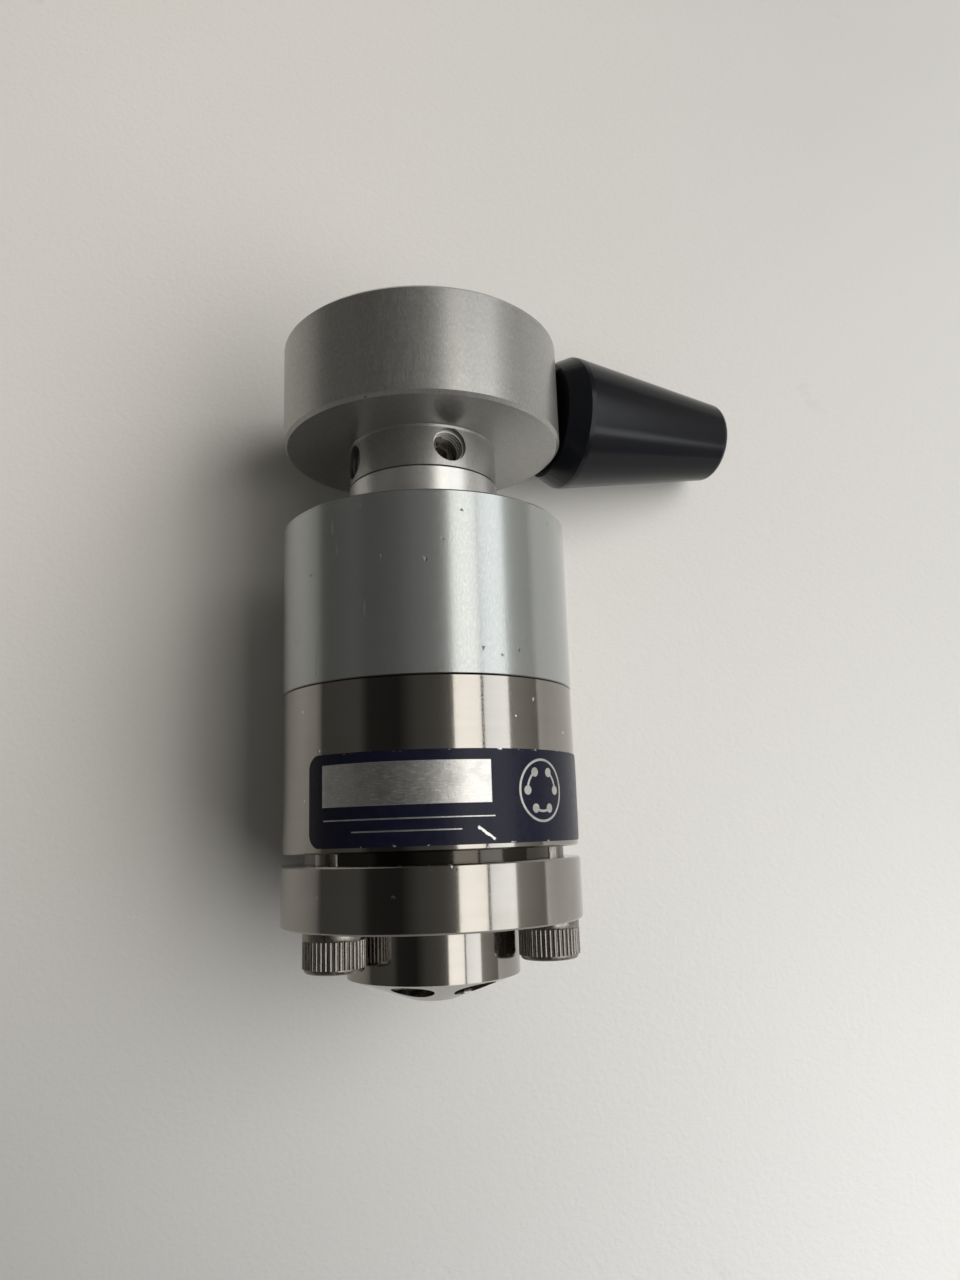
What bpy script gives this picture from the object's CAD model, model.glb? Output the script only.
import math

import bmesh
import bpy
from mathutils import Matrix, Vector


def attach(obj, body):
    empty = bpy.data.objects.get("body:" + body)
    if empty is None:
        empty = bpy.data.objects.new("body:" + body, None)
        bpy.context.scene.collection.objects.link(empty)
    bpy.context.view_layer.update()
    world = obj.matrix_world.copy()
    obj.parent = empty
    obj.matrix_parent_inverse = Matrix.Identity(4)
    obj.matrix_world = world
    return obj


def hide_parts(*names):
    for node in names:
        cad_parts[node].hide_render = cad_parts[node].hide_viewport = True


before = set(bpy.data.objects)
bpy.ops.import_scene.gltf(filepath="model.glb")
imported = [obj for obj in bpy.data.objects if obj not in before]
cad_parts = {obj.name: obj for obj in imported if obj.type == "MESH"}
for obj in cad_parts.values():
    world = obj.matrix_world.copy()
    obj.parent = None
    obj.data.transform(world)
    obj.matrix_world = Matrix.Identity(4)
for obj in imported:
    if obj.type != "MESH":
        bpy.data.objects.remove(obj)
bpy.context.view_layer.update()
scene = bpy.context.scene
scene.view_settings.view_transform = "Standard"
mm = 0.001
print("stage: frame loaded")


cameraFacts = {
    "place": (-3.373, -36.904, 114.6),
    "turn": (0.20271691, -0.08331859, -0.02429533),  # rotation vector in radians
    "lens": 26.509,
    "sensor": 36.0,
}
cameraData = bpy.data.cameras.new("camera")
cameraData.lens = cameraFacts["lens"]
cameraData.sensor_width = cameraFacts["sensor"]
cameraData.clip_start = 0.001
cameraData.clip_end = 20
camera = bpy.data.objects.new("camera", cameraData)
scene.collection.objects.link(camera)
turn = Vector(cameraFacts["turn"])
camera.rotation_mode = "QUATERNION"
camera.location = Vector(cameraFacts["place"]) * mm
camera.rotation_quaternion = Matrix.Rotation(turn.length, 3, turn.normalized()).to_quaternion()
scene.camera = camera
print("stage: camera")


# node helpers
def newMaterial(name, **constants):
    mat = bpy.data.materials.new(name)
    mat.use_nodes = True
    tree = mat.node_tree
    tree.nodes.clear()
    out = tree.nodes.new("ShaderNodeOutputMaterial")
    shader = tree.nodes.new("ShaderNodeBsdfPrincipled")
    tree.links.new(shader.outputs[0], out.inputs["Surface"])
    for key, value in constants.items():
        shader.inputs[key.replace("_", " ")].default_value = value
    return mat, tree, shader


def put(tree, kind, inputs=None, **settings):
    n = tree.nodes.new(kind)
    for key, value in settings.items():
        setattr(n, key, value)
    for key, value in (inputs or {}).items():
        if isinstance(value, bpy.types.NodeSocket):
            tree.links.new(value, n.inputs[key])
        else:
            n.inputs[key].default_value = value
    return n


def calc(tree, operation, a, b=0.0, clamp=False):
    n = put(tree, "ShaderNodeMath", {0: a, 1: b}, operation=operation)
    n.use_clamp = clamp
    return n.outputs[0]


def spread(tree, value, low, high, toLow=0.0, toHigh=1.0):  # smooth step from low to high
    n = put(tree, "ShaderNodeMapRange", {"Value": value, "From Min": low, "From Max": high,
            "To Min": toLow, "To Max": toHigh}, interpolation_type="SMOOTHSTEP")
    return n.outputs["Result"]


def blendColour(tree, amount, a, b):
    n = put(tree, "ShaderNodeMix", data_type="RGBA")
    for key, value in ((0, amount), (6, a), (7, b)):
        if isinstance(value, bpy.types.NodeSocket):
            tree.links.new(value, n.inputs[key])
        else:
            n.inputs[key].default_value = value
    return n.outputs[2]


def noise(tree, vector, scale, detail=3.0, roughness=0.55):
    n = put(tree, "ShaderNodeTexNoise", {"Vector": vector, "Scale": scale, "Detail": detail,
            "Roughness": roughness})
    return n.outputs["Fac"]


def bump(tree, height, distance, strength=1.0, under=None):
    n = put(tree, "ShaderNodeBump", {"Height": height, "Distance": distance, "Strength": strength})
    if under is not None:
        tree.links.new(under, n.inputs["Normal"])
    return n.outputs["Normal"]


def axisCoords(tree, centre=(0, 0, 0), rotation=(0, 0, 0)):
    # arc, length along the axis and radius, about the Y axis of the mapped frame, in metres and radians
    place = put(tree, "ShaderNodeTexCoord").outputs["Object"]
    moved = put(tree, "ShaderNodeMapping", {"Vector": place, "Location": centre, "Rotation": rotation},
                vector_type="TEXTURE").outputs[0]
    xyz = put(tree, "ShaderNodeSeparateXYZ", {0: moved})
    angle = calc(tree, "ARCTAN2", xyz.outputs[0], xyz.outputs[2])
    square = calc(tree, "ADD", calc(tree, "MULTIPLY", xyz.outputs[0], xyz.outputs[0]),
                  calc(tree, "MULTIPLY", xyz.outputs[2], xyz.outputs[2]))
    return {"place": place, "angle": angle, "along": xyz.outputs[1], "radius": calc(tree, "SQRT", square)}


def stretched(tree, c, perAngle, perAlong, perRadius):  # features per radian and per metre
    return put(tree, "ShaderNodeCombineXYZ", {
        0: calc(tree, "MULTIPLY", c["angle"], perAngle),
        1: calc(tree, "MULTIPLY", c["along"], perAlong),
        2: calc(tree, "MULTIPLY", c["radius"], perRadius)}).outputs[0]


# turned and ground metals: rings round the axis, a grain, stains, nicks and fine scratches
def turnedMetal(name, facts):
    mat, tree, shader = newMaterial(name, Metallic=facts.get("metallic", 1.0), Coat_Weight=facts.get("coat", 0.0),
                                    Coat_Roughness=facts.get("coatRough", 0.1))
    c = axisCoords(tree)
    rings = noise(tree, stretched(tree, c, 0.3, facts["rings"], facts["rings"]), 1.0, 2.0)
    grain = noise(tree, stretched(tree, c, facts["grainAround"], facts["grainAlong"], facts["grainAlong"]), 1.0, 3.0)
    bands = noise(tree, stretched(tree, c, 0.8, 900, 900), 1.0, 2.0)
    cloud = noise(tree, c["place"], facts.get("cloud", 160.0), 4.0)
    ragged = put(tree, "ShaderNodeTexNoise", {"Vector": c["place"], "Scale": 2200.0, "Detail": 2.0}).outputs["Color"]
    shifted = put(tree, "ShaderNodeVectorMath", {0: ragged, 1: (0.0009, 0.0009, 0.0009), 2: c["place"]},
                  operation="MULTIPLY_ADD").outputs[0]
    cells = put(tree, "ShaderNodeTexVoronoi", {"Vector": shifted, "Scale": facts.get("nickScale", 330.0),
                "Randomness": 1.0}, feature="F1")
    pick = put(tree, "ShaderNodeSeparateColor", {0: cells.outputs["Color"]}).outputs[0]
    near = spread(tree, cells.outputs["Distance"], 0.04, 0.11, 1.0, 0.0)
    nick = calc(tree, "MULTIPLY", near, calc(tree, "GREATER_THAN", pick, facts.get("nickRare", 0.93)))
    scratchVector = put(tree, "ShaderNodeMapping", {"Vector": c["place"], "Rotation": (0.1, 0.15, 1.1),
                        "Scale": (2600, 110, 900)}).outputs[0]
    scratch = spread(tree, noise(tree, scratchVector, 1.0, 1.0), 0.77, 0.82)
    mixed = calc(tree, "ADD", calc(tree, "MULTIPLY", grain, 0.6), calc(tree, "MULTIPLY", bands, 0.4))
    tone = blendColour(tree, mixed, facts["dark"] + (1,), facts["light"] + (1,))
    tone = blendColour(tree, calc(tree, "MULTIPLY", spread(tree, cloud, 0.5, 0.75), facts.get("stain", 0.25)),
                       tone, facts["stainTone"] + (1,))
    if "speck" in facts:  # the fine sparkle of a blasted or brushed skin
        speck = spread(tree, noise(tree, stretched(tree, c, 120, 1900, 3800), 1.0, 2.0, 0.7), 0.42, 0.68)
        tone = blendColour(tree, calc(tree, "MULTIPLY", speck, facts["speck"]), tone, facts["speckTone"] + (1,))
    tone = blendColour(tree, calc(tree, "MULTIPLY", nick, 0.8), tone, facts["nickTone"] + (1,))
    for low, high, inside in facts.get("grooves", ()):  # old oil in a gap: two places along the axis, and a radius
        inGap = calc(tree, "MULTIPLY", calc(tree, "GREATER_THAN", c["along"], low * mm),
                     calc(tree, "LESS_THAN", c["along"], high * mm))
        inGap = calc(tree, "MULTIPLY", inGap, calc(tree, "LESS_THAN", c["radius"], inside * mm))
        tone = blendColour(tree, calc(tree, "MULTIPLY", inGap, 0.9), tone, (0.03, 0.026, 0.02, 1))
    tree.links.new(tone, shader.inputs["Base Color"])
    # most of the surface keeps its polish, and the valleys of the grain are dull
    dull = spread(tree, grain, facts.get("dullFrom", 0.4), facts.get("dullTo", 0.6))
    rough = calc(tree, "ADD", facts["rough"], calc(tree, "MULTIPLY", dull, facts["roughSpread"]))
    rough = calc(tree, "ADD", rough, calc(tree, "MULTIPLY", scratch, 0.12), clamp=True)
    tree.links.new(rough, shader.inputs["Roughness"])
    n1 = bump(tree, rings, facts["ringDepth"] * mm)
    n2 = bump(tree, grain, facts["grainDepth"] * mm, under=n1)
    n3 = bump(tree, calc(tree, "MULTIPLY", calc(tree, "ADD", nick, calc(tree, "MULTIPLY", scratch, 0.3)), -1.0),
              facts.get("nickDepth", 0.02) * mm, under=n2)
    tree.links.new(n3, shader.inputs["Normal"])
    return mat


satinAluminium = turnedMetal("satinAluminium", {
    "rings": 9000, "ringDepth": 0.0014, "grainAround": 200, "grainAlong": 500, "grainDepth": 0.0009,
    "dark": (0.265, 0.26, 0.245), "light": (0.375, 0.37, 0.355), "rough": 0.29, "roughSpread": 0.18,
    "dullFrom": 0.25, "dullTo": 0.75, "metallic": 0.83, "coat": 0.4, "coatRough": 0.2,
    "speck": 0.38, "speckTone": (0.50, 0.49, 0.475),
    "stain": 0.25, "stainTone": (0.31, 0.305, 0.29), "nickTone": (0.2, 0.2, 0.19), "nickRare": 0.86,
    "nickScale": 480.0,
})
anodisedAluminium = turnedMetal("anodisedAluminium", {
    "rings": 6000, "ringDepth": 0.0005, "grainAround": 280, "grainAlong": 800, "grainDepth": 0.00016,
    "dark": (0.295, 0.31, 0.305), "light": (0.345, 0.36, 0.355), "rough": 0.2, "roughSpread": 0.05,
    "dullFrom": 0.2, "dullTo": 0.8, "metallic": 0.78, "coat": 0.6, "coatRough": 0.1,
    "speck": 0.3, "speckTone": (0.46, 0.475, 0.465),
    "stain": 0.35, "stainTone": (0.28, 0.31, 0.305), "nickTone": (0.07, 0.07, 0.06), "nickRare": 0.72,
    "nickScale": 480.0, "nickDepth": 0.06, "grooves": ((-20.46, -20.33, 30),),
})
brightAluminium = turnedMetal("brightAluminium", {
    "rings": 7000, "ringDepth": 0.0015, "grainAround": 120, "grainAlong": 2400, "grainDepth": 0.0003,
    "dark": (0.50, 0.495, 0.48), "light": (0.60, 0.59, 0.57), "rough": 0.26, "roughSpread": 0.1,
    "dullFrom": 0.2, "dullTo": 0.8, "metallic": 0.78,
    "stain": 0.2, "stainTone": (0.42, 0.41, 0.40), "nickTone": (0.3, 0.29, 0.28), "nickRare": 0.98,
})
threadAluminium = turnedMetal("threadAluminium", {
    "rings": 9000, "ringDepth": 0.0005, "grainAround": 60, "grainAlong": 900, "grainDepth": 0.0003,
    "dark": (0.62, 0.61, 0.58), "light": (0.74, 0.73, 0.70), "rough": 0.3, "roughSpread": 0.1, "metallic": 0.35,
    "stain": 0.2, "stainTone": (0.55, 0.53, 0.47), "nickTone": (0.4, 0.39, 0.37), "nickRare": 0.98,
})
polishedSteel = turnedMetal("polishedSteel", {
    "rings": 5200, "ringDepth": 0.0012, "grainAround": 260, "grainAlong": 5200, "grainDepth": 0.00015,
    "dark": (0.275, 0.26, 0.24), "light": (0.345, 0.33, 0.305), "rough": 0.05, "roughSpread": 0.10,
    "stain": 0.3, "stainTone": (0.215, 0.19, 0.155), "nickTone": (0.80, 0.79, 0.77), "nickRare": 0.84,
    "nickScale": 520.0, "grooves": ((-39.95, -38.6, 15.6), (-20.58, -20.44, 30)),
})
darkPort = turnedMetal("darkPort", {
    "rings": 5200, "ringDepth": 0.002, "grainAround": 70, "grainAlong": 1900, "grainDepth": 0.0006,
    "dark": (0.16, 0.145, 0.12), "light": (0.30, 0.28, 0.24), "rough": 0.16, "roughSpread": 0.2,
    "stain": 0.5, "stainTone": (0.08, 0.07, 0.05), "nickTone": (0.5, 0.49, 0.47), "nickRare": 0.95,
})
screwSteel = turnedMetal("screwSteel", {
    "rings": 9000, "ringDepth": 0.001, "grainAround": 60, "grainAlong": 900, "grainDepth": 0.002,
    "dark": (0.17, 0.155, 0.14), "light": (0.33, 0.31, 0.285), "rough": 0.24, "roughSpread": 0.2,
    "stain": 0.5, "stainTone": (0.11, 0.095, 0.075), "nickTone": (0.5, 0.49, 0.46), "nickRare": 0.9,
    "nickScale": 900.0,
})
groundSteel = turnedMetal("groundSteel", {
    "rings": 8000, "ringDepth": 0.001, "grainAround": 50, "grainAlong": 700, "grainDepth": 0.001,
    "dark": (0.50, 0.49, 0.48), "light": (0.60, 0.59, 0.58), "rough": 0.16, "roughSpread": 0.1,
    "stain": 0.15, "stainTone": (0.42, 0.40, 0.38), "nickTone": (0.7, 0.69, 0.68),
})
springSteel = turnedMetal("springSteel", {
    "rings": 4000, "ringDepth": 0.001, "grainAround": 40, "grainAlong": 500, "grainDepth": 0.001,
    "dark": (0.20, 0.20, 0.22), "light": (0.32, 0.32, 0.34), "rough": 0.3, "roughSpread": 0.15,
    "stain": 0.5, "stainTone": (0.22, 0.18, 0.15), "nickTone": (0.5, 0.5, 0.5),
})
bearingBronze = turnedMetal("bearingBronze", {
    "rings": 8000, "ringDepth": 0.0015, "grainAround": 50, "grainAlong": 700, "grainDepth": 0.001,
    "dark": (0.46, 0.30, 0.13), "light": (0.62, 0.43, 0.20), "rough": 0.24, "roughSpread": 0.15,
    "stain": 0.4, "stainTone": (0.33, 0.19, 0.08), "nickTone": (0.7, 0.5, 0.3),
})
print("stage: metals")


# plastics and seals
def mouldedPlastic(name, facts):
    mat, tree, shader = newMaterial(name, Metallic=0.0)
    shader.inputs["Specular IOR Level"].default_value = facts.get("specular", 0.5)
    c = axisCoords(tree, facts.get("centre", (0, 0, 0)), facts.get("rotation", (0, 0, 0)))
    rings = noise(tree, stretched(tree, c, 1.5, facts.get("rings", 2500), facts.get("rings", 2500)), 1.0, 3.0)
    streaks = noise(tree, stretched(tree, c, facts.get("streaks", 9), 25, 25), 1.0, 3.0)
    soft = noise(tree, c["place"], 260.0, 4.0)
    tone = blendColour(tree, soft, facts["dark"] + (1,), facts["light"] + (1,))
    tree.links.new(tone, shader.inputs["Base Color"])
    rough = calc(tree, "ADD", facts["rough"], calc(tree, "MULTIPLY", streaks, facts["roughSpread"]), clamp=True)
    tree.links.new(rough, shader.inputs["Roughness"])
    low = bump(tree, streaks, facts.get("streakDepth", 0.0) * mm)
    tree.links.new(bump(tree, rings, facts.get("depth", 0.001) * mm, under=low), shader.inputs["Normal"])
    return mat


# the grip's axis stands 106.4 degrees from straight up and 18.15 mm from the panel face
blackPlastic = mouldedPlastic("blackPlastic", {
    "centre": (0, 18.15 * mm, 0), "rotation": (math.radians(90), math.radians(106.4), 0),
    "dark": (0.0035, 0.004, 0.0055), "light": (0.006, 0.0065, 0.009), "rough": 0.13, "roughSpread": 0.14,
    "specular": 0.22, "depth": 0.0015, "streakDepth": 0.02, "streaks": 7, "rings": 1800,
})
brownPolymer = mouldedPlastic("brownPolymer", {
    "dark": (0.12, 0.05, 0.02), "light": (0.20, 0.09, 0.04), "rough": 0.4, "roughSpread": 0.2})
whitePolymer = mouldedPlastic("whitePolymer", {
    "dark": (0.66, 0.65, 0.60), "light": (0.78, 0.77, 0.72), "rough": 0.35, "roughSpread": 0.2})
whiteCeramic = mouldedPlastic("whiteCeramic", {
    "dark": (0.78, 0.77, 0.75), "light": (0.86, 0.85, 0.83), "rough": 0.12, "roughSpread": 0.1})
print("stage: plastics")

finishes = {
    "body_housing": anodisedAluminium, "pressure_nut": brightAluminium, "knob": satinAluminium,
    "stator_ring": polishedSteel, "stator": polishedSteel, "handle_grip": blackPlastic,
    "handle_stud": groundSteel, "shaft": groundSteel, "knob_set_screws": screwSteel,
    "stator_screws": screwSteel, "shaft_bush": bearingBronze, "bearing_ring": bearingBronze,
    "roller_cage": bearingBronze, "spring_washers": springSteel, "rotor_seal": brownPolymer,
    "stator_face": whiteCeramic, "isolation_seal": whitePolymer, "needle_seal": whitePolymer,
    "needle_port_bush": whitePolymer,
}
for name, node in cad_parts.items():
    node.data.materials.clear()
    node.data.materials.append(finishes.get(name, groundSteel))


# mesh helpers
def addPiece(name, mesh, material, body, smoothAngle=35):
    piece = bpy.data.objects.new(name, mesh)
    scene.collection.objects.link(piece)
    mesh.materials.clear()
    mesh.materials.append(material)
    mesh.shade_smooth()
    mesh.set_sharp_from_angle(angle=math.radians(smoothAngle))
    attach(piece, body)
    return piece


def lathe(bm, profile, steps=96, matrix=None):
    matrix = matrix or Matrix()
    rings = []
    for r, z in profile:
        if r < 1e-7:
            rings.append([bm.verts.new(matrix @ Vector((0, 0, z * mm)))])
            continue
        rings.append([bm.verts.new(matrix @ Vector((r * mm * math.cos(math.tau * i / steps),
                     r * mm * math.sin(math.tau * i / steps), z * mm))) for i in range(steps)])
    for low, high in zip(rings, rings[1:]):
        for i in range(steps):
            j = (i + 1) % steps
            if len(low) == 1:
                bm.faces.new((low[0], high[i], high[j]))
            elif len(high) == 1:
                bm.faces.new((low[i], high[0], low[j]))
            else:
                bm.faces.new((low[i], high[i], high[j], low[j]))


def finishMesh(bm, name):
    bmesh.ops.remove_doubles(bm, verts=bm.verts, dist=1e-8)
    bmesh.ops.recalc_face_normals(bm, faces=bm.faces)
    mesh = bpy.data.meshes.new(name)
    bm.to_mesh(mesh)
    bm.free()
    return mesh


def copies(mesh, matrices, bm):
    for matrix in matrices:
        part = mesh.copy()
        part.transform(matrix)
        bm.from_mesh(part)
        bpy.data.meshes.remove(part)


def atAngle(angle, radius, along):  # frame at a place round the valve, its Z axis along the valve
    a = math.radians(angle)
    out = Vector((math.sin(a), 0, math.cos(a)))
    axis = Vector((0, 1, 0))
    side = axis.cross(out)
    m = Matrix((out, side, axis)).transposed().to_4x4()
    m.translation = (out * radius + axis * along) * mm
    return m


def outwards(angle, radius, along):  # the same, its Z axis pointing away from the valve's axis
    a = math.radians(angle)
    out = Vector((math.sin(a), 0, math.cos(a)))
    axis = Vector((0, 1, 0))
    side = out.cross(axis)
    m = Matrix((axis, side, out)).transposed().to_4x4()
    m.translation = (out * radius + axis * along) * mm
    return m


# geometry node helpers
def newTree(name, sockets):
    tree = bpy.data.node_groups.new(name, "GeometryNodeTree")
    tree.is_modifier = True
    for label, kind, value in sockets:
        socket = tree.interface.new_socket(label, in_out="INPUT", socket_type=kind)
        if value is not None:
            socket.default_value = value
    tree.interface.new_socket("Geometry", in_out="OUTPUT", socket_type="NodeSocketGeometry")
    return tree, tree.nodes.new("NodeGroupInput"), tree.nodes.new("NodeGroupOutput")


def finishTree(tree, end, geometry, material):
    real = put(tree, "GeometryNodeRealizeInstances", {"Geometry": geometry})
    dressed = put(tree, "GeometryNodeSetMaterial", {"Geometry": real.outputs[0], "Material": material})
    tree.links.new(dressed.outputs[0], end.inputs[0])


def runTree(tree, name, values):
    holder = bpy.data.objects.new(name, bpy.data.meshes.new(name))
    scene.collection.objects.link(holder)
    modifier = holder.modifiers.new("nodes", "NODES")
    modifier.node_group = tree
    known = {s.name: s.identifier for s in tree.interface.items_tree if s.in_out == "INPUT"}
    for key, value in values.items():
        modifier[known[key]] = value
    found = holder.evaluated_get(bpy.context.evaluated_depsgraph_get())
    mesh = bpy.data.meshes.new_from_object(found)
    bpy.data.objects.remove(holder)
    return mesh


# the three knurled cap screws that hold the stator
capScrew = {
    "seat": -46.75, "circle": 13.8, "angles": (68.6, 188.6, 308.6),
    "headRadius": 3.43, "headHeight": 4.15, "collar": 0.85, "rim": 0.5,
    "ridges": 38, "ridgeRadius": 0.25, "ridgeSink": 0.75,  # share of a ridge's radius that stands out of the core
    "socket": 3.57, "socketDepth": 2.0,
    "mouthWidth": 0.12, "mouthDepth": 0.15, "drillTip": 0.5,  # round the socket's mouth, and under its floor
    "shank": 2.085, "length": 31.8, "steps": 96,
}
knurlTree, knurlIn, knurlOut = newTree("knurlTree", [
    ("Ridges", "NodeSocketInt", 38), ("Circle", "NodeSocketFloat", 0.003),
    ("Ridge Radius", "NodeSocketFloat", 0.00025), ("Ridge Length", "NodeSocketFloat", 0.003),
    ("Middle", "NodeSocketFloat", 0.0)])
ridgeBar = put(knurlTree, "GeometryNodeMeshCylinder", {"Vertices": 10, "Radius": knurlIn.outputs["Ridge Radius"],
               "Depth": knurlIn.outputs["Ridge Length"]})
ridgeCircle = put(knurlTree, "GeometryNodeMeshCircle", {"Vertices": knurlIn.outputs["Ridges"],
                  "Radius": knurlIn.outputs["Circle"]})
ridgeSet = put(knurlTree, "GeometryNodeInstanceOnPoints", {"Points": ridgeCircle.outputs[0],
               "Instance": ridgeBar.outputs[0]})
ridgeLift = put(knurlTree, "ShaderNodeCombineXYZ", {2: knurlIn.outputs["Middle"]})
ridgeMoved = put(knurlTree, "GeometryNodeTransform", {"Geometry": ridgeSet.outputs[0],
                 "Translation": ridgeLift.outputs[0]})
finishTree(knurlTree, knurlOut, ridgeMoved.outputs[0], screwSteel)

coreRadius = capScrew["headRadius"] - capScrew["ridgeRadius"] * capScrew["ridgeSink"]
ridgeLength = capScrew["headHeight"] - capScrew["collar"] - capScrew["rim"]
knurlMesh = runTree(knurlTree, "knurl", {
    "Ridges": capScrew["ridges"], "Circle": (capScrew["headRadius"] - capScrew["ridgeRadius"]) * mm,
    "Ridge Radius": capScrew["ridgeRadius"] * mm, "Ridge Length": ridgeLength * mm,
    "Middle": -(capScrew["collar"] + ridgeLength / 2) * mm})


def plainScrew(facts, core):  # the seat is at 0, the head's top below it and the shank above it
    bm = bmesh.new()
    top, outer = -facts["headHeight"], facts["headRadius"]
    shank, end, steps = facts["shank"], facts["length"], facts["steps"]
    flat = facts["socket"] / 2
    mouthRadius = flat / math.cos(math.pi / 6) + facts["mouthWidth"]
    crown = [(mouthRadius, top), (core - 0.42, top), (core - 0.2, top + 0.05), (core - 0.05, top + 0.2),
             (core, top + facts["rim"])]
    collar = [(core, -facts["collar"]), (outer - 0.08, 0.02 - facts["collar"]), (outer, 0.12 - facts["collar"]),
              (outer, -0.06), (outer - 0.06, 0)]
    lathe(bm, crown + collar + [(shank, 0), (shank, end - 0.4), (shank - 0.4, end), (0, end)], steps)

    # the hexagon socket: a chamfered mouth, six walls and a floor
    def roundPoint(i):
        a = math.tau * i / steps
        return bm.verts.new((mouthRadius * mm * math.cos(a), mouthRadius * mm * math.sin(a), top * mm))

    def hexPoint(i, z):
        a = math.tau * i / steps
        r = flat / math.cos((a + math.pi / 6) % (math.pi / 3) - math.pi / 6)
        return bm.verts.new((r * mm * math.cos(a), r * mm * math.sin(a), z * mm))

    floorZ = top + facts["socketDepth"]
    mouth = [roundPoint(i) for i in range(steps)]
    hexTop = [hexPoint(i, top + facts["mouthDepth"]) for i in range(steps)]
    hexFoot = [hexPoint(i, floorZ) for i in range(steps)]
    tip = bm.verts.new((0, 0, (floorZ + facts["drillTip"]) * mm))
    for i in range(steps):
        j = (i + 1) % steps
        bm.faces.new((mouth[i], mouth[j], hexTop[j], hexTop[i]))
        bm.faces.new((hexTop[i], hexTop[j], hexFoot[j], hexFoot[i]))
        bm.faces.new((hexFoot[i], hexFoot[j], tip))
    return finishMesh(bm, "plainScrew")


screwsBm = bmesh.new()
places = [atAngle(a, capScrew["circle"], capScrew["seat"]) for a in capScrew["angles"]]
copies(plainScrew(capScrew, coreRadius), places, screwsBm)
copies(knurlMesh, places, screwsBm)
screwsMesh = bpy.data.meshes.new("knurledCapScrews")
screwsBm.to_mesh(screwsMesh)
screwsBm.free()
capScrews = addPiece("knurledCapScrews", screwsMesh, screwSteel, "valve_body", 40)
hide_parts("stator_screws")
print("stage: cap screws")


# threads in the hub's set screw holes and in the six ports
threadTree, threadIn, threadOut = newTree("threadTree", [
    ("Turns", "NodeSocketFloat", 4.0), ("Radius", "NodeSocketFloat", 0.002),
    ("Height", "NodeSocketFloat", 0.003), ("Ridge", "NodeSocketFloat", 0.0003)])
helix = put(threadTree, "GeometryNodeCurveSpiral", {"Resolution": 40, "Rotations": threadIn.outputs["Turns"],
            "Start Radius": threadIn.outputs["Radius"], "End Radius": threadIn.outputs["Radius"],
            "Height": threadIn.outputs["Height"]})
ridgeShape = put(threadTree, "GeometryNodeCurvePrimitiveCircle", {"Resolution": 4,
                 "Radius": threadIn.outputs["Ridge"]})
threadSweep = put(threadTree, "GeometryNodeCurveToMesh", {"Curve": helix.outputs[0],
                  "Profile Curve": ridgeShape.outputs[0], "Fill Caps": True})
finishTree(threadTree, threadOut, threadSweep.outputs[0], threadAluminium)


def threadMesh(name, facts):
    height = facts["end"] - facts["start"]
    made = runTree(threadTree, name, {"Turns": height / facts["pitch"], "Radius": facts["radius"] * mm,
                   "Height": height * mm, "Ridge": facts["ridge"] * mm})
    made.transform(Matrix.Translation((0, 0, facts["start"] * mm)))
    return made


hubThread = {"along": 8.8, "angles": (19.4, -70.6), "radius": 2.02, "pitch": 0.52, "start": 6.6, "end": 8.6,
             "ridge": 0.13}
hubBm = bmesh.new()
copies(threadMesh("hubThread", hubThread), [outwards(a, 0, hubThread["along"]) for a in hubThread["angles"]], hubBm)
hubMesh = finishMesh(hubBm, "hubThreads")
hubThreads = addPiece("hubThreads", hubMesh, threadAluminium, "rotor", 20)

portThread = {"mouth": -53.692, "circle": 7.0, "tilt": 15.54, "angles": tuple(38.6 + 60 * i for i in range(6)),
              "radius": 2.4, "pitch": 0.79, "start": 0.45, "end": 5.1, "ridge": 0.3}
tilt = Matrix.Rotation(math.radians(-portThread["tilt"]), 4, "Y")
portBm = bmesh.new()
copies(threadMesh("portThread", portThread),
       [atAngle(a, portThread["circle"], portThread["mouth"]) @ tilt for a in portThread["angles"]], portBm)
portMesh = finishMesh(portBm, "portThreads")
portThreads = addPiece("portThreads", portMesh, darkPort, "valve_body", 20)
print("stage: threads")


# the label round the ring
label = {
    "radius": 17.35, "thick": 0.14, "from": -49.3, "to": 77.7, "low": -38.05, "high": -28.3, "corner": 1.6,
    "columns": 240, "endCrowding": 0.9,
    # the drawing, in mm from the label's lower left corner
    "long": 38.45, "wide": 9.75,
    "window": (2.15, 20.9, 4.2, 8.6), "rules": ((2.3, 21.2, 2.76, 2.88), (6.0, 17.6, 1.52, 1.64)),
    "diagram": (27.6, 5.4), "portsRadius": 2.2, "rimRadii": (3.1, 3.4),
    "scrape": (20.2, 1.1), "scrapeTurn": -36,
}


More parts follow.
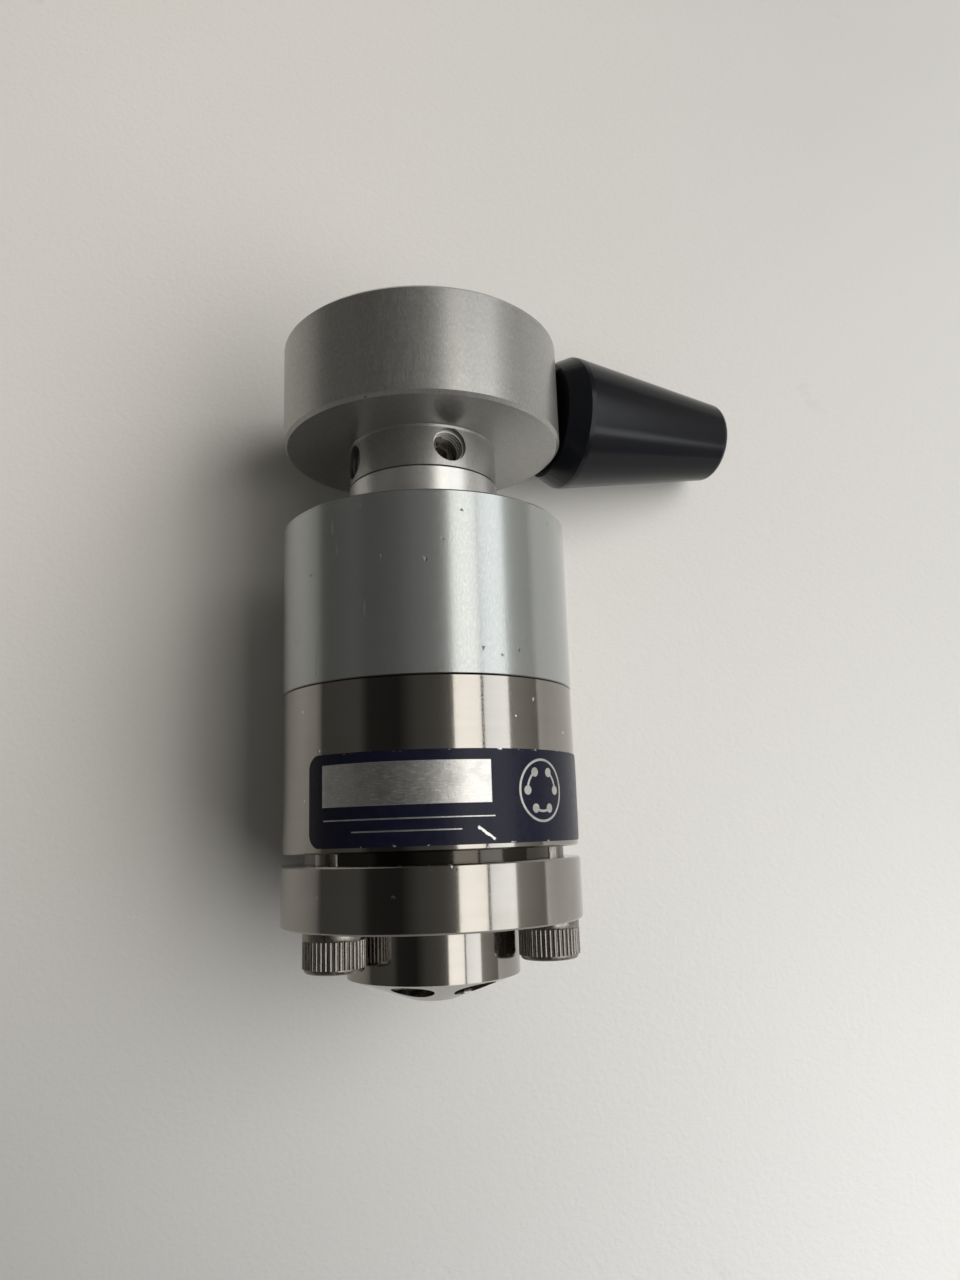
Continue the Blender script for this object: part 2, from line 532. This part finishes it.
def labelMesh():
    bm = bmesh.new()
    uvLayer = bm.loops.layers.uv.new("label")
    width = label["high"] - label["low"]
    length = math.radians(label["to"] - label["from"]) * label["radius"]
    stations = []
    for i in range(label["columns"] + 1):
        t = i / label["columns"]
        stations.append(length * (t - math.sin(math.tau * t) / math.tau * label["endCrowding"]))
    rows = []
    for s in stations:
        end = min(s, length - s)
        cut = 0.0
        if end < label["corner"]:
            cut = label["corner"] - math.sqrt(max(0.0, label["corner"] ** 2 - (label["corner"] - end) ** 2))
        a = math.radians(label["from"]) + s / label["radius"]
        row = []
        for depth in (label["thick"], 0.0):
            for y in (label["low"] + cut, label["high"] - cut):
                r = (label["radius"] + depth) * mm
                row.append((bm.verts.new((r * math.sin(a), y * mm, r * math.cos(a))),
                            (s / length, (y - label["low"]) / width)))
        rows.append(row)

    def face(*corners):
        made = bm.faces.new([c[0] for c in corners])
        for loop, c in zip(made.loops, corners):
            loop[uvLayer].uv = c[1]

    for a, b in zip(rows, rows[1:]):
        face(a[0], b[0], b[1], a[1])
        face(a[2], a[3], b[3], b[2])
        face(a[1], b[1], b[3], a[3])
        face(a[0], a[2], b[2], b[0])
    face(rows[0][0], rows[0][1], rows[0][3], rows[0][2])
    face(rows[-1][0], rows[-1][2], rows[-1][3], rows[-1][1])
    bmesh.ops.recalc_face_normals(bm, faces=bm.faces)
    mesh = bpy.data.meshes.new("ringLabel")
    bm.to_mesh(mesh)
    bm.free()
    return mesh


def labelFoil():
    mat, tree, shader = newMaterial("labelFoil", Specular_IOR_Level=0.17)
    uv = put(tree, "ShaderNodeUVMap", uv_map="label").outputs[0]
    xy = put(tree, "ShaderNodeSeparateXYZ", {0: uv})
    # millimetres along and across the label
    x = calc(tree, "MULTIPLY", xy.outputs[0], label["long"])
    y = calc(tree, "MULTIPLY", xy.outputs[1], label["wide"])

    def between(value, low, high, soft=0.03):
        return calc(tree, "MULTIPLY", spread(tree, value, low - soft, low + soft),
                    spread(tree, value, high - soft, high + soft, 1, 0))

    def box(x0, x1, y0, y1):
        return calc(tree, "MULTIPLY", between(x, x0, x1), between(y, y0, y1))

    window = box(*label["window"])
    ruleA, ruleB = [box(*rule) for rule in label["rules"]]
    # six ports round a circle, with three passages that join them two by two
    dx = calc(tree, "SUBTRACT", x, label["diagram"][0])
    dy = calc(tree, "SUBTRACT", y, label["diagram"][1])
    reach = calc(tree, "SQRT", calc(tree, "ADD", calc(tree, "MULTIPLY", dx, dx), calc(tree, "MULTIPLY", dy, dy)))
    bearing = calc(tree, "ARCTAN2", dy, dx)
    sixth = math.pi / 3
    fold = calc(tree, "PINGPONG", calc(tree, "ADD", bearing, 10 * sixth), sixth / 2)
    fx = calc(tree, "SUBTRACT", calc(tree, "MULTIPLY", reach, calc(tree, "COSINE", fold)), label["portsRadius"])
    fy = calc(tree, "MULTIPLY", reach, calc(tree, "SINE", fold))
    dot = spread(tree, calc(tree, "SQRT", calc(tree, "ADD", calc(tree, "MULTIPLY", fx, fx),
                 calc(tree, "MULTIPLY", fy, fy))), 0.46, 0.52, 1, 0)
    rimLow, rimHigh = label["rimRadii"]
    rim = calc(tree, "MULTIPLY", spread(tree, reach, rimLow, rimLow + 0.05),
               spread(tree, reach, rimHigh - 0.05, rimHigh, 1, 0))
    band = calc(tree, "MULTIPLY", spread(tree, reach, 2.05, 2.09), spread(tree, reach, 2.31, 2.35, 1, 0))
    third = calc(tree, "MODULO", calc(tree, "ADD", bearing, 6 * sixth), 2 * sixth)
    joined = calc(tree, "LESS_THAN", calc(tree, "ABSOLUTE", calc(tree, "SUBTRACT", third, sixth / 2)), sixth / 2)
    passage = calc(tree, "MULTIPLY", band, joined)
    sign = calc(tree, "MAXIMUM", calc(tree, "MAXIMUM", dot, rim), passage)
    printed = calc(tree, "MAXIMUM", calc(tree, "MAXIMUM", window, ruleA), calc(tree, "MAXIMUM", ruleB, sign))
    # wear: one scrape, scuffs and worn edges that show bare foil
    mmXY = put(tree, "ShaderNodeCombineXYZ", {0: x, 1: y}).outputs[0]
    grime = noise(tree, mmXY, 0.9, 5.0, 0.6)
    fleck = spread(tree, noise(tree, mmXY, 5.5, 3.0, 0.6), 0.70, 0.74)
    turned = put(tree, "ShaderNodeMapping", {"Vector": mmXY, "Location": label["scrape"] + (0,),
                 "Rotation": (0, 0, math.radians(label["scrapeTurn"]))}, vector_type="TEXTURE").outputs[0]
    t = put(tree, "ShaderNodeSeparateXYZ", {0: turned})
    wobble = calc(tree, "MULTIPLY", calc(tree, "SUBTRACT", noise(tree, mmXY, 2.5, 3.0), 0.5), 0.35)
    across = calc(tree, "ABSOLUTE", calc(tree, "ADD", t.outputs[1], wobble))
    scrape = calc(tree, "MULTIPLY", spread(tree, across, 0.10, 0.17, 1, 0),
                  spread(tree, calc(tree, "ABSOLUTE", t.outputs[0]), 1.0, 1.25, 1, 0))
    edgeY = calc(tree, "MINIMUM", y, calc(tree, "SUBTRACT", label["wide"], y))
    edgeX = calc(tree, "MINIMUM", x, calc(tree, "SUBTRACT", label["long"], x))
    rimWear = calc(tree, "MULTIPLY", spread(tree, calc(tree, "MINIMUM", edgeX, edgeY), 0.05, 0.22, 1, 0),
                   spread(tree, noise(tree, mmXY, 0.8, 5.0), 0.60, 0.66))
    flecks = calc(tree, "MULTIPLY", fleck, spread(tree, noise(tree, mmXY, 0.35, 2.0), 0.56, 0.66))
    worn = calc(tree, "MAXIMUM", scrape, calc(tree, "MAXIMUM", rimWear, flecks))
    bare = calc(tree, "MAXIMUM", printed, worn, clamp=True)
    brushLines = put(tree, "ShaderNodeMapping", {"Vector": mmXY, "Scale": (14, 0.9, 1)}).outputs[0]
    brushed = noise(tree, brushLines, 1.0, 4.0)
    wiped = noise(tree, put(tree, "ShaderNodeMapping", {"Vector": mmXY, "Rotation": (0, 0, 0.5),
                  "Scale": (1.1, 9, 1)}).outputs[0], 1.0, 3.0)
    foil = blendColour(tree, brushed, (0.42, 0.415, 0.40, 1), (0.66, 0.65, 0.63, 1))
    foil = blendColour(tree, spread(tree, wiped, 0.56, 0.70), foil, (0.80, 0.79, 0.77, 1))
    smear = calc(tree, "MULTIPLY", spread(tree, noise(tree, mmXY, 0.5, 4.0), 0.45, 0.7), 0.5)
    foil = blendColour(tree, smear, foil, (0.36, 0.35, 0.335, 1))
    film = blendColour(tree, grime, (0.0035, 0.004, 0.010, 1), (0.009, 0.010, 0.024, 1))
    tree.links.new(blendColour(tree, bare, film, foil), shader.inputs["Base Color"])
    tree.links.new(calc(tree, "MULTIPLY", bare, 0.95), shader.inputs["Metallic"])
    rough = put(tree, "ShaderNodeMix", {0: bare, 2: calc(tree, "ADD", 0.2, calc(tree, "MULTIPLY", grime, 0.22)),
                3: calc(tree, "ADD", 0.22, calc(tree, "MULTIPLY", wiped, 0.3))}, data_type="FLOAT").outputs[0]
    tree.links.new(rough, shader.inputs["Roughness"])
    dents = noise(tree, mmXY, 1.4, 4.0)
    step = bump(tree, calc(tree, "SUBTRACT", 1.0, bare), 0.01 * mm)
    tree.links.new(bump(tree, dents, 0.02 * mm, under=step), shader.inputs["Normal"])
    return mat


ringLabel = addPiece("ringLabel", labelMesh(), labelFoil(), "valve_body", 40)
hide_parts("ring_label")
print("stage: label")


floorFacts = {
    "height": -17.6, "half": 3000,
    "left": ((0.72, 0.70, 0.665, 1), (0.77, 0.75, 0.715, 1)),  # the darker and lighter tone of the mottle
    "right": ((0.60, 0.59, 0.575, 1), (0.65, 0.64, 0.625, 1)),
    "wornLeft": (0.36, 0.36, 0.355, 1), "wornRight": (0.86, 0.86, 0.86, 1),
    "dirt": (0.32, 0.30, 0.27, 1),
}
floorBm = bmesh.new()
bmesh.ops.create_grid(floorBm, x_segments=1, y_segments=1, size=floorFacts["half"] * mm)
for v in floorBm.verts:
    v.co.z = floorFacts["height"] * mm
floorMesh = bpy.data.meshes.new("floor")
floorBm.to_mesh(floorMesh)
floorBm.free()
floor = bpy.data.objects.new("floor", floorMesh)
scene.collection.objects.link(floor)
floorMaterial, tree, shader = newMaterial("paleLaminate")
place = put(tree, "ShaderNodeTexCoord").outputs["Object"]
mottle = noise(tree, place, 14.0, 4.0)
cells = put(tree, "ShaderNodeTexVoronoi", {"Vector": place, "Scale": 36.0, "Randomness": 1.0}, feature="F1")
pick = put(tree, "ShaderNodeSeparateColor", {0: cells.outputs["Color"]}).outputs[0]
speck = calc(tree, "MULTIPLY", calc(tree, "GREATER_THAN", pick, 0.8),
             spread(tree, cells.outputs["Distance"], 0.012, 0.03, 1, 0))
smudge = calc(tree, "MULTIPLY", spread(tree, noise(tree, place, 60.0, 5.0, 0.65), 0.66, 0.76), 0.35)
across = put(tree, "ShaderNodeSeparateXYZ", {0: place})
lowerEnd = spread(tree, across.outputs[1], 0.02, -0.13)
leftTone = blendColour(tree, mottle, *floorFacts["left"])
rightTone = blendColour(tree, mottle, *floorFacts["right"])
paleTone = blendColour(tree, spread(tree, across.outputs[0], -0.05, 0.09), leftTone, rightTone)
# the worn end of the bench top is whiter to the right
lowerTone = blendColour(tree, spread(tree, across.outputs[0], -0.09, 0.09), floorFacts["wornLeft"],
                        floorFacts["wornRight"])
paleTone = blendColour(tree, lowerEnd, paleTone, lowerTone)
dirt = calc(tree, "MAXIMUM", calc(tree, "MULTIPLY", speck, 0.75), calc(tree, "MULTIPLY", smudge, 0.5))
paleTone = blendColour(tree, dirt, paleTone, floorFacts["dirt"])
tree.links.new(paleTone, shader.inputs["Base Color"])
tree.links.new(spread(tree, mottle, 0.3, 0.7, 0.34, 0.46), shader.inputs["Roughness"])
peel = noise(tree, place, 1500.0, 3.0)
tree.links.new(bump(tree, peel, 0.045 * mm), shader.inputs["Normal"])
floor.data.materials.append(floorMaterial)
print("stage: floor")


# direction in degrees from straight up and turned from +X, sizes in metres, glow in watts per m2 per sr
panels = [
    {"name": "panelNear", "angle": 28.0, "turn": 0, "distance": 1.2, "width": 0.45, "length": 1.63, "glow": 1.95,
     "colour": (1.0, 0.975, 0.93)},
    {"name": "panelFar", "angle": 51.5, "turn": 0, "distance": 1.2, "width": 0.45, "length": 1.63, "glow": 1.65,
     "colour": (0.96, 0.985, 1.0)},
    {"name": "panelNearGlint", "angle": 28.0, "turn": 0, "distance": 1.19, "width": 0.45, "length": 1.63,
     "glow": 0.62, "colour": (1.0, 0.985, 0.955), "glint": True},
    {"name": "panelFarGlint", "angle": 51.5, "turn": 0, "distance": 1.19, "width": 0.45, "length": 1.63,
     "glow": 0.45, "colour": (0.96, 0.985, 1.0), "glint": True},
    {"name": "panelLow", "angle": 68.0, "turn": -20, "distance": 1.2, "width": 0.20, "length": 0.20, "glow": 3.2,
     "colour": (0.96, 0.985, 1.0)},
    {"name": "softWindow", "angle": 47.0, "turn": -8, "distance": 1.25, "width": 0.75, "length": 1.9, "glow": 3.1,
     "colour": (1.0, 0.985, 0.955), "fill": True},
]
for facts in panels:
    lamp = bpy.data.lights.new(facts["name"], "AREA")
    lamp.shape = "RECTANGLE"
    lamp.size = facts["width"]
    lamp.size_y = facts["length"]
    lamp.energy = facts["glow"] * math.pi * facts["width"] * facts["length"]
    lamp.color = facts["colour"]
    holder = bpy.data.objects.new(facts["name"], lamp)
    a, b = math.radians(facts["angle"]), math.radians(facts["turn"])
    reach = facts["distance"] * math.sin(a)
    holder.location = (reach * math.cos(b), reach * math.sin(b) - 0.03, facts["distance"] * math.cos(a))
    holder.rotation_euler = (0, a, b)
    holder.visible_camera = False
    holder.visible_glossy = "fill" not in facts  # the fill softens the shadow and isn't mirrored
    holder.visible_diffuse = "glint" not in facts  # a glint is mirrored and lights nothing
    scene.collection.objects.link(holder)

world = bpy.data.worlds.new("softRoom")
scene.world = world
world.use_nodes = True
tree = world.node_tree
background = tree.nodes["Background"]
direction = put(tree, "ShaderNodeTexCoord").outputs["Generated"]
towards = put(tree, "ShaderNodeSeparateXYZ", {0: direction})
room = {  # degrees from straight up, towards +X: grey level of the room there
    -150: 0.10, -95: 0.09, -56: 0.11, -48: 0.03, -24: 0.024, -10: 0.10, 6: 0.13, 15: 0.2, 40: 0.07, 61: 0.50,
    70: 0.45, 80: 0.38, 88: 0.30, 120: 0.20,
}
bearing = calc(tree, "ARCTAN2", towards.outputs[0], towards.outputs[2])
ramp = put(tree, "ShaderNodeValToRGB", {0: calc(tree, "ADD", calc(tree, "DIVIDE", bearing, math.tau), 0.5)})
stops = ramp.color_ramp.elements
for degrees, level in room.items():
    stop = stops.new(degrees / 360 + 0.5)
    stop.color = (level, level * 0.965, level * 0.89, 1)
stops.remove(stops[-1])
stops.remove(stops[0])
endWall = calc(tree, "ABSOLUTE", towards.outputs[1])
roomTone = blendColour(tree, spread(tree, endWall, 0.5, 0.9), ramp.outputs[0], (0.13, 0.125, 0.115, 1))
tree.links.new(roomTone, background.inputs["Color"])
background.inputs["Strength"].default_value = 1.0
print("stage: light")

print("stage: done")
